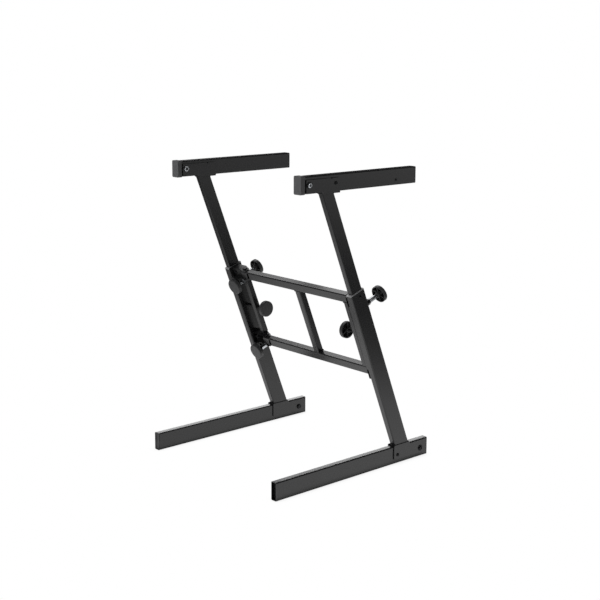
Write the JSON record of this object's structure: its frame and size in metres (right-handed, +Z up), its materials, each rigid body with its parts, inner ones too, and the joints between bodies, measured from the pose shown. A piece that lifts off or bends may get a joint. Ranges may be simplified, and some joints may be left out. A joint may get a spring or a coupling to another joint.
{
  "type": "folding keyboard stand",
  "caption": "Folding stand for a keyboard: leaning telescopic posts on level legs carry level arms, tied by a railed centre frame whose left side swings in.",
  "frame": {"origin": "on the floor, under the middle of the stand", "axes": "+Z up, -Y towards the front (where the legs and arms reach forward), +X to the right as seen from the front"},
  "size_m": [0.567, 0.56, 0.8274],
  "materials": {
    "powder_coat": "fine satin-black powder coat on steel",
    "zinc": "bright zinc plate",
    "chrome": "polished",
    "knob_plastic": "moulded, semi-matt",
    "plug_plastic": "moulded, matt",
    "cap_rubber": "matt"
  },
  "bodies": {
    "centre_and_right_frame": {"right_outer_post": "powder_coat", "right_post_collar": "plug_plastic", "right_collar_screw": "zinc", "right_leg_bracket": "powder_coat", "right_leg_pivot_bolt": "zinc", "right_leg_lock_bolt": "zinc", "right_pin_barrel": "chrome", "right_join_plate": "powder_coat", "right_upright": "powder_coat", "upper_rail": "powder_coat", "lower_rail": "powder_coat", "mid_brace": "powder_coat"},
    "left_frame": {"left_outer_post": "powder_coat", "left_post_collar": "plug_plastic", "left_collar_screw": "zinc", "left_leg_bracket": "powder_coat", "left_leg_pivot_bolt": "zinc", "left_leg_lock_bolt": "zinc", "left_pin_barrel": "chrome", "left_upright": "powder_coat", "upper_hinge_bracket": "powder_coat", "upper_hinge_pin": "zinc", "upper_lock_sleeve": "zinc", "lower_hinge_bracket": "powder_coat", "lower_hinge_pin": "zinc", "lower_lock_sleeve": "zinc"},
    "right_leg_tube": {"right_leg": "powder_coat", "right_leg_front_plug": "plug_plastic", "right_leg_rear_plug": "plug_plastic"},
    "right_upper_post": {"right_inner_post": "powder_coat", "right_arm_bracket": "powder_coat", "right_arm_pivot_bolt": "zinc", "right_arm_lock_bolt": "zinc"},
    "right_support_arm": {"right_arm": "powder_coat", "right_arm_front_cap": "cap_rubber", "right_arm_rear_plug": "plug_plastic", "right_arm_screw": "zinc"},
    "right_pull_pin": {"right_pull_plunger": "chrome", "right_pull_knob": "knob_plastic"},
    "right_clamp": {"right_clamp_screw": "zinc", "right_clamp_knob": "knob_plastic"},
    "left_leg_tube": {"left_leg": "powder_coat", "left_leg_front_plug": "plug_plastic", "left_leg_rear_plug": "plug_plastic"},
    "left_upper_post": {"left_inner_post": "powder_coat", "left_arm_bracket": "powder_coat", "left_arm_pivot_bolt": "zinc", "left_arm_lock_bolt": "zinc"},
    "left_support_arm": {"left_arm": "powder_coat", "left_arm_front_cap": "cap_rubber", "left_arm_rear_plug": "plug_plastic", "left_arm_screw": "zinc"},
    "left_pull_pin": {"left_pull_plunger": "chrome", "left_pull_knob": "knob_plastic"},
    "left_clamp": {"left_clamp_screw": "zinc", "left_clamp_knob": "knob_plastic"},
    "upper_lock": {"upper_lock_knob": "knob_plastic"},
    "lower_lock": {"lower_lock_knob": "knob_plastic"}
  },
  "joints": [
    {"name": "left_fold", "type": "hinge", "parent": "centre_and_right_frame", "child": "left_frame", "pos_m": [-0.19, 0.16969, 0.04635], "axis": [0, -0.3649, 0.9311], "range_deg": [0, 90]},
    {"name": "right_leg_fold", "type": "hinge", "parent": "centre_and_right_frame", "child": "right_leg_tube", "pos_m": [0.26, 0.2505, 0.025], "axis": [1, 0, 0], "range_deg": [0, 282]},
    {"name": "right_height", "type": "slide", "parent": "centre_and_right_frame", "child": "right_upper_post", "axis": [0, -0.3649, 0.9311], "range_m": [-0.16, 0.08]},
    {"name": "right_arm_fold", "type": "hinge", "parent": "right_upper_post", "child": "right_support_arm", "pos_m": [0.26, -0.17748, 0.8035], "axis": [1, 0, 0], "range_deg": [0, 288]},
    {"name": "right_pull", "type": "slide", "parent": "centre_and_right_frame", "child": "right_pull_pin", "axis": [0, 0.9311, 0.3649], "range_m": [0, 0.012], "stiffness_N_per_m": 1500, "springref_m": -0.008},
    {"name": "right_clamp_turn", "type": "hinge", "parent": "centre_and_right_frame", "child": "right_clamp", "pos_m": [0.26, 0.05439, 0.38031], "axis": [1, 0, 0], "continuous": true},
    {"name": "left_leg_fold", "type": "hinge", "parent": "left_frame", "child": "left_leg_tube", "pos_m": [-0.26, 0.2505, 0.025], "axis": [1, 0, 0], "range_deg": [0, 282]},
    {"name": "left_height", "type": "slide", "parent": "left_frame", "child": "left_upper_post", "axis": [0, -0.3649, 0.9311], "range_m": [-0.16, 0.08]},
    {"name": "left_arm_fold", "type": "hinge", "parent": "left_upper_post", "child": "left_support_arm", "pos_m": [-0.26, -0.17748, 0.8035], "axis": [1, 0, 0], "range_deg": [0, 288]},
    {"name": "left_pull", "type": "slide", "parent": "left_frame", "child": "left_pull_pin", "axis": [0, 0.9311, 0.3649], "range_m": [0, 0.012], "stiffness_N_per_m": 1500, "springref_m": -0.008},
    {"name": "left_clamp_turn", "type": "hinge", "parent": "left_frame", "child": "left_clamp", "pos_m": [-0.26, 0.05439, 0.38031], "axis": [1, 0, 0], "continuous": true},
    {"name": "upper_lock_turn", "type": "hinge", "parent": "left_frame", "child": "upper_lock", "pos_m": [-0.231, 0.01827, 0.46013], "axis": [0, 0.9311, 0.3649], "continuous": true},
    {"name": "lower_lock_turn", "type": "hinge", "parent": "left_frame", "child": "lower_lock", "pos_m": [-0.231, 0.10037, 0.25064], "axis": [0, 0.9311, 0.3649], "continuous": true}
  ]
}
